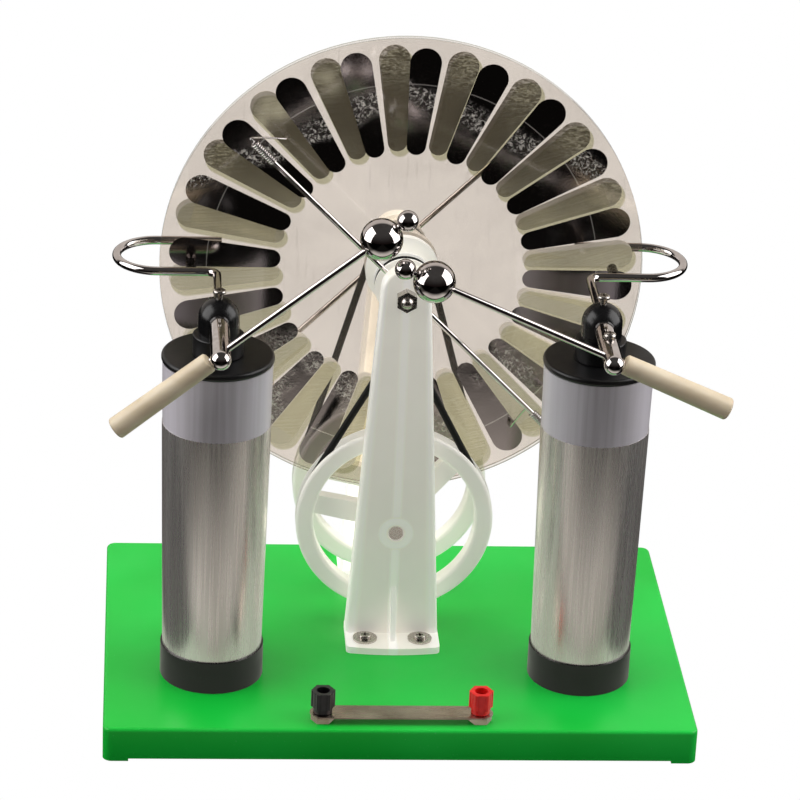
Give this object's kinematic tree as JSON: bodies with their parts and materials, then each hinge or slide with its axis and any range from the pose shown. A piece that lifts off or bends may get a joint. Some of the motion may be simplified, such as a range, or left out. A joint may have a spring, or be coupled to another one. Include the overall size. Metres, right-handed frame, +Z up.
{
  "type": "wimshurst machine",
  "caption": "hand-cranked electrostatic generator: twin contra-rotating foil-sector discs between posts, Leyden jars, collectors and swinging spark arms on a flat base",
  "frame": {"origin": "middle of the base's underside, on the foot that the base rests on", "axes": "+X right along the base's long side as seen from the spark arms, +Y back along the disc axle, +Z up"},
  "size_m": [0.3325, 0.2561, 0.366],
  "materials": {
    "base_plastic": "satin",
    "milky_plastic": "satin",
    "disc_acrylic": "polished",
    "jar_plastic": "gloss",
    "foil": "polished",
    "jar_foil": "satin",
    "black_plastic": "gloss",
    "belt_rubber": "matte",
    "chrome": "polished",
    "steel": "satin",
    "nickel": "satin",
    "brass": "satin",
    "tinsel": "polished",
    "cream_plastic": "gloss",
    "grip_plastic": "gloss",
    "black_cap_plastic": "gloss",
    "red_cap_plastic": "gloss"
  },
  "bodies": {
    "frame": {"base": "base_plastic", "front_post": "milky_plastic", "rear_post": "milky_plastic", "pan_head_screws": "steel", "post_washers": "steel", "base_nuts": "steel", "contact_strips": "brass", "upper_axle": "steel", "axle_cap_nuts": "steel", "disc_spacer": "milky_plastic", "front_belt": "belt_rubber", "rear_belt": "belt_rubber", "jar_base_rings": "black_plastic", "left_jar_cup": "jar_plastic", "right_jar_cup": "jar_plastic", "jar_outer_foils": "jar_foil", "jar_inner_foils": "jar_foil", "left_jar_lid": "black_plastic", "right_jar_lid": "black_plastic", "lid_collars": "black_plastic", "left_jar_dome": "black_plastic", "right_jar_dome": "black_plastic", "jar_contact_rods": "brass", "left_collector": "chrome", "right_collector": "chrome", "collector_combs": "chrome", "terminal_studs": "nickel"},
    "crank": {"drive_axle": "steel", "front_drive_wheel": "milky_plastic", "rear_drive_wheel": "milky_plastic", "wheel_pins": "steel", "crank_arm": "steel", "crank_grip_pin": "steel"},
    "grip": {"crank_grip": "grip_plastic"},
    "front_disc_body": {"front_disc": "disc_acrylic", "front_sectors": "foil", "front_pulley": "milky_plastic"},
    "rear_disc_body": {"rear_disc": "disc_acrylic", "rear_sectors": "foil", "rear_pulley": "milky_plastic"},
    "front_neutralizer": {"front_neutralizer_hub": "chrome", "front_neutralizer_rod": "chrome", "front_brushes": "tinsel"},
    "rear_neutralizer": {"rear_neutralizer_hub": "chrome", "rear_neutralizer_rod": "chrome", "rear_brushes": "tinsel"},
    "left_arm": {"left_holder": "chrome"},
    "left_spark": {"left_spark_rod": "chrome", "left_spark_balls": "chrome", "left_spark_handle": "cream_plastic"},
    "right_arm": {"right_holder": "chrome", "holder_clamp_screw": "steel"},
    "right_spark": {"right_spark_rod": "chrome", "right_spark_balls": "chrome", "right_spark_handle": "cream_plastic"},
    "strap": {"shorting_strap": "nickel"},
    "black_thread": {"black_cap_insert": "brass"},
    "black_cap": {"black_terminal_cap": "black_cap_plastic"},
    "red_thread": {"red_cap_insert": "brass"},
    "red_cap": {"red_terminal_cap": "red_cap_plastic"}
  },
  "joints": [
    {"name": "front_disc_spin", "type": "hinge", "parent": "frame", "child": "front_disc_body", "pos_m": [0, 0.03625, 0.231], "axis": [0, 1, 0], "continuous": true},
    {"name": "rear_disc_spin", "type": "hinge", "parent": "frame", "child": "rear_disc_body", "pos_m": [0, 0.03975, 0.231], "axis": [0, 1, 0], "continuous": true},
    {"name": "crank_spin", "type": "hinge", "parent": "frame", "child": "crank", "pos_m": [0, 0.038, 0.0872], "axis": [0, 1, 0], "continuous": true},
    {"name": "grip_spin", "type": "hinge", "parent": "crank", "child": "grip", "pos_m": [0, 0.121, 0.0372], "axis": [0, 1, 0], "continuous": true},
    {"name": "front_neutralizer_swing", "type": "hinge", "parent": "frame", "child": "front_neutralizer", "pos_m": [0, 0.0052, 0.231], "axis": [0, 1, 0], "range_deg": [-30, 5]},
    {"name": "rear_neutralizer_swing", "type": "hinge", "parent": "frame", "child": "rear_neutralizer", "pos_m": [0, 0.0708, 0.231], "axis": [0, -1, 0], "range_deg": [-30, 5]},
    {"name": "left_arm_swing", "type": "hinge", "parent": "frame", "child": "left_arm", "pos_m": [-0.1033, -0.0935, 0.2345], "axis": [0, -1, 0], "range_deg": [-2, 70]},
    {"name": "left_rod_slide", "type": "slide", "parent": "left_arm", "child": "left_spark", "axis": [0.7793, 0, 0.6266], "range_m": [-0.075, 0.001]},
    {"name": "right_arm_swing", "type": "hinge", "parent": "frame", "child": "right_arm", "pos_m": [0.1033, -0.0935, 0.2345], "axis": [0, 1, 0], "range_deg": [-2, 70]},
    {"name": "right_rod_slide", "type": "slide", "parent": "right_arm", "child": "right_spark", "axis": [-0.9143, 0, 0.4051], "range_m": [-0.075, 0.001]},
    {"name": "strap_swing", "type": "hinge", "parent": "frame", "child": "strap", "pos_m": [-0.0433, -0.1005, 0.0244], "axis": [0, 0, -1], "range_deg": [0, 75]},
    {"name": "black_cap_lift", "type": "slide", "parent": "frame", "child": "black_thread", "axis": [0, 0, 1], "range_m": [0, 0.0035]},
    {"name": "black_cap_turn", "type": "hinge", "parent": "black_thread", "child": "black_cap", "pos_m": [-0.0433, -0.1005, 0.03], "axis": [0, 0, 1], "range_deg": [0, 2700]},
    {"name": "red_cap_lift", "type": "slide", "parent": "frame", "child": "red_thread", "axis": [0, 0, 1], "range_m": [0, 0.0035]},
    {"name": "red_cap_turn", "type": "hinge", "parent": "red_thread", "child": "red_cap", "pos_m": [0.0433, -0.1005, 0.03], "axis": [0, 0, 1], "range_deg": [0, 2700]}
  ],
  "couplings": [
    {"joint": "rear_disc_spin", "follows": "front_disc_spin", "ratio": -1},
    {"joint": "crank_spin", "follows": "front_disc_spin", "ratio": -0.27358},
    {"joint": "black_cap_turn", "follows": "black_cap_lift", "rad_per_m": 8976},
    {"joint": "red_cap_turn", "follows": "red_cap_lift", "rad_per_m": 8976}
  ]
}
